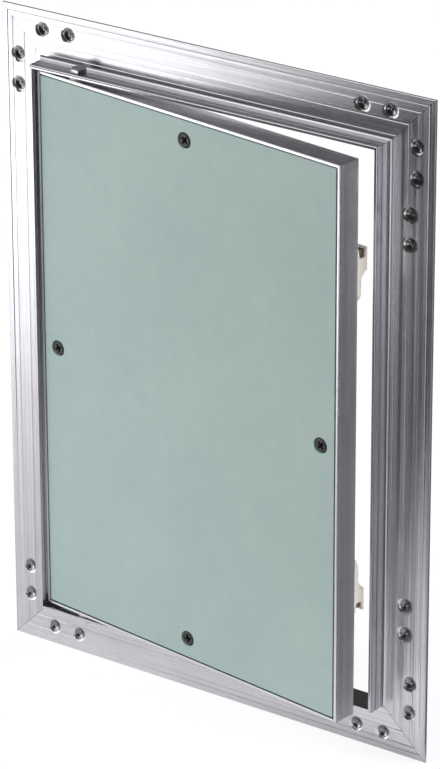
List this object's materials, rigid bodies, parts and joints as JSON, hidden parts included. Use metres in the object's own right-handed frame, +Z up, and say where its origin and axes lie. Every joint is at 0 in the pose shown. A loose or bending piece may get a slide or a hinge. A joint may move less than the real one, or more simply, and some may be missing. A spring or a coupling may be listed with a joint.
{
  "type": "ceiling access panel",
  "caption": "Access panel for plasterboard: mitred aluminium frame with a grooved flange and rim, and a board-filled leaf on pivot bolts that push latches hold shut.",
  "frame": {"origin": "centre of the opening, on the front plane of the flange that seats against the back of the board", "axes": "+X to the latch side, -Y out of the front of the panel, +Z up along the pivot axis"},
  "size_m": [0.26, 0.0499, 0.354],
  "materials": {
    "frame_aluminium": "mill finish with lengthwise extrusion lines",
    "leaf_aluminium": "mill finish, bright edge",
    "zinc_steel": "zinc plated",
    "rivet_metal": "satin",
    "board": "matt green paper face",
    "black_screw": "black phosphate",
    "latch_plastic": "cream moulded plastic",
    "jaw_plastic": "brown moulded plastic",
    "nylon": "natural nylon"
  },
  "bodies": {
    "frame": {"frame_bottom": "frame_aluminium", "frame_right": "frame_aluminium", "frame_top": "frame_aluminium", "frame_left": "frame_aluminium", "bracket_bottom_left": "zinc_steel", "bracket_bottom_right": "zinc_steel", "bracket_top_right": "zinc_steel", "bracket_top_left": "zinc_steel", "corner_rivets": "rivet_metal", "keeper_top": "zinc_steel", "keeper_bottom": "zinc_steel", "keeper_rivets": "rivet_metal", "striker_top": "zinc_steel", "striker_bottom": "zinc_steel", "pivot_bolt_top": "zinc_steel", "pivot_bolt_bottom": "zinc_steel"},
    "leaf": {"leaf_bottom": "leaf_aluminium", "leaf_right": "leaf_aluminium", "leaf_top": "leaf_aluminium", "leaf_left": "leaf_aluminium", "leaf_plate_bottom_left": "zinc_steel", "leaf_plate_bottom_right": "zinc_steel", "leaf_plate_top_right": "zinc_steel", "leaf_plate_top_left": "zinc_steel", "leaf_rivets": "rivet_metal", "plasterboard": "board", "board_screws": "black_screw", "pivot_bush_top": "nylon", "pivot_bush_bottom": "nylon", "latch_block_top": "latch_plastic", "latch_block_bottom": "latch_plastic", "latch_rivets": "rivet_metal", "latch_spring_top": "zinc_steel", "latch_spring_bottom": "zinc_steel"},
    "upper_jaw": {"latch_jaw_top": "jaw_plastic"},
    "lower_jaw": {"latch_jaw_bottom": "jaw_plastic"}
  },
  "joints": [
    {"name": "leaf_pivot", "type": "hinge", "parent": "frame", "child": "leaf", "pos_m": [-0.0775, -0.0059, 0], "axis": [0, 0, -1], "range_deg": [-7.6, 102.4]},
    {"name": "upper_jaw_push", "type": "slide", "parent": "leaf", "child": "upper_jaw", "axis": [-0.1323, -0.9912, 0], "range_m": [0, 0.0026], "stiffness_N_per_m": 300, "deforming": ["latch_spring_top"]},
    {"name": "lower_jaw_push", "type": "slide", "parent": "leaf", "child": "lower_jaw", "axis": [-0.1323, -0.9912, 0], "range_m": [0, 0.0026], "stiffness_N_per_m": 300, "deforming": ["latch_spring_bottom"]}
  ]
}
